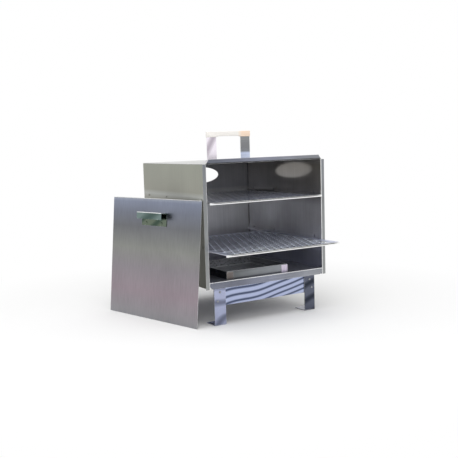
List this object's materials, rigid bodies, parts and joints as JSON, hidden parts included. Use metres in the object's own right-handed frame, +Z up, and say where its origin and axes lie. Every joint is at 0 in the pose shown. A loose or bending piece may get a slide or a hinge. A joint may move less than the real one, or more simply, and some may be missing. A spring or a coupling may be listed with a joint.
{
  "type": "box smoker",
  "caption": "Sheet-steel box smoker on strap legs with sliding mesh racks, a drip tray, a carry handle and a lift-off door leaning on its side.",
  "frame": {"origin": "on the ground, under the middle of the part's whole box, with the lower rack pulled out and the door leaning as stored", "axes": "+Z up, +X to the right along the cabinet's front, -Y out of the opening towards the user"},
  "size_m": [0.5544, 0.5034, 0.5575],
  "materials": {
    "brushed_steel": "satin",
    "door_steel": "brushed",
    "rack_steel": "satin",
    "inner_steel": "smoked satin",
    "polished_steel": "polished",
    "grip_wood": "bare light wood"
  },
  "bodies": {
    "cabinet": {"floor_panel": "inner_steel", "front_apron": "polished_steel", "front_left_leg": "polished_steel", "front_left_leg_rivet_1": "brushed_steel", "front_left_leg_rivet_2": "brushed_steel", "front_right_leg": "polished_steel", "front_right_leg_rivet_1": "brushed_steel", "front_right_leg_rivet_2": "brushed_steel", "handle_grip": "grip_wood", "handle_rivet_left_inner": "brushed_steel", "handle_rivet_left_outer": "brushed_steel", "handle_rivet_right_inner": "brushed_steel", "handle_rivet_right_outer": "brushed_steel", "handle_screw_left": "brushed_steel", "handle_screw_right": "brushed_steel", "handle_strap_left": "polished_steel", "handle_strap_right": "polished_steel", "left_wall": "brushed_steel", "lower_left_runner": "inner_steel", "lower_left_runner_rivet_1": "inner_steel", "lower_left_runner_rivet_2": "inner_steel", "lower_left_runner_rivet_3": "inner_steel", "lower_right_runner": "inner_steel", "lower_right_runner_rivet_1": "inner_steel", "lower_right_runner_rivet_2": "inner_steel", "lower_right_runner_rivet_3": "inner_steel", "rear_apron": "polished_steel", "rear_left_leg": "polished_steel", "rear_left_leg_rivet_1": "brushed_steel", "rear_left_leg_rivet_2": "brushed_steel", "rear_right_leg": "polished_steel", "rear_right_leg_rivet_1": "brushed_steel", "rear_right_leg_rivet_2": "brushed_steel", "rear_wall": "inner_steel", "right_wall": "brushed_steel", "roof_panel": "brushed_steel", "upper_left_runner": "inner_steel", "upper_left_runner_rivet_1": "inner_steel", "upper_left_runner_rivet_2": "inner_steel", "upper_left_runner_rivet_3": "inner_steel", "upper_right_runner": "inner_steel", "upper_right_runner_rivet_1": "inner_steel", "upper_right_runner_rivet_2": "inner_steel", "upper_right_runner_rivet_3": "inner_steel"},
    "upper_rack": {"upper_rack_frame": "rack_steel", "upper_rack_mesh": "rack_steel"},
    "lower_rack": {"lower_rack_frame": "rack_steel", "lower_rack_mesh": "rack_steel"},
    "drip_tray": {"drip_tray": "inner_steel"},
    "door": {"door_panel": "door_steel", "door_pull": "polished_steel", "door_pull_rivet_rear": "brushed_steel", "door_pull_rivet_near": "brushed_steel"}
  },
  "joints": [
    {"name": "upper_rack_slide", "type": "slide", "parent": "cabinet", "child": "upper_rack", "axis": [0, -1, 0], "range_m": [-0.008, 0.25]},
    {"name": "lower_rack_slide", "type": "slide", "parent": "cabinet", "child": "lower_rack", "axis": [0, -1, 0], "range_m": [-0.09, 0.168]},
    {"name": "drip_tray_slide", "type": "slide", "parent": "cabinet", "child": "drip_tray", "axis": [0, -1, 0], "range_m": [-0.18, 0.1]},
    {"name": "door_swing", "type": "hinge", "parent": "cabinet", "child": "door", "pos_m": [-0.2772, 0.24088, 0.00012], "axis": [0.2554, -0.9668, 0], "range_deg": [0, 88]}
  ]
}
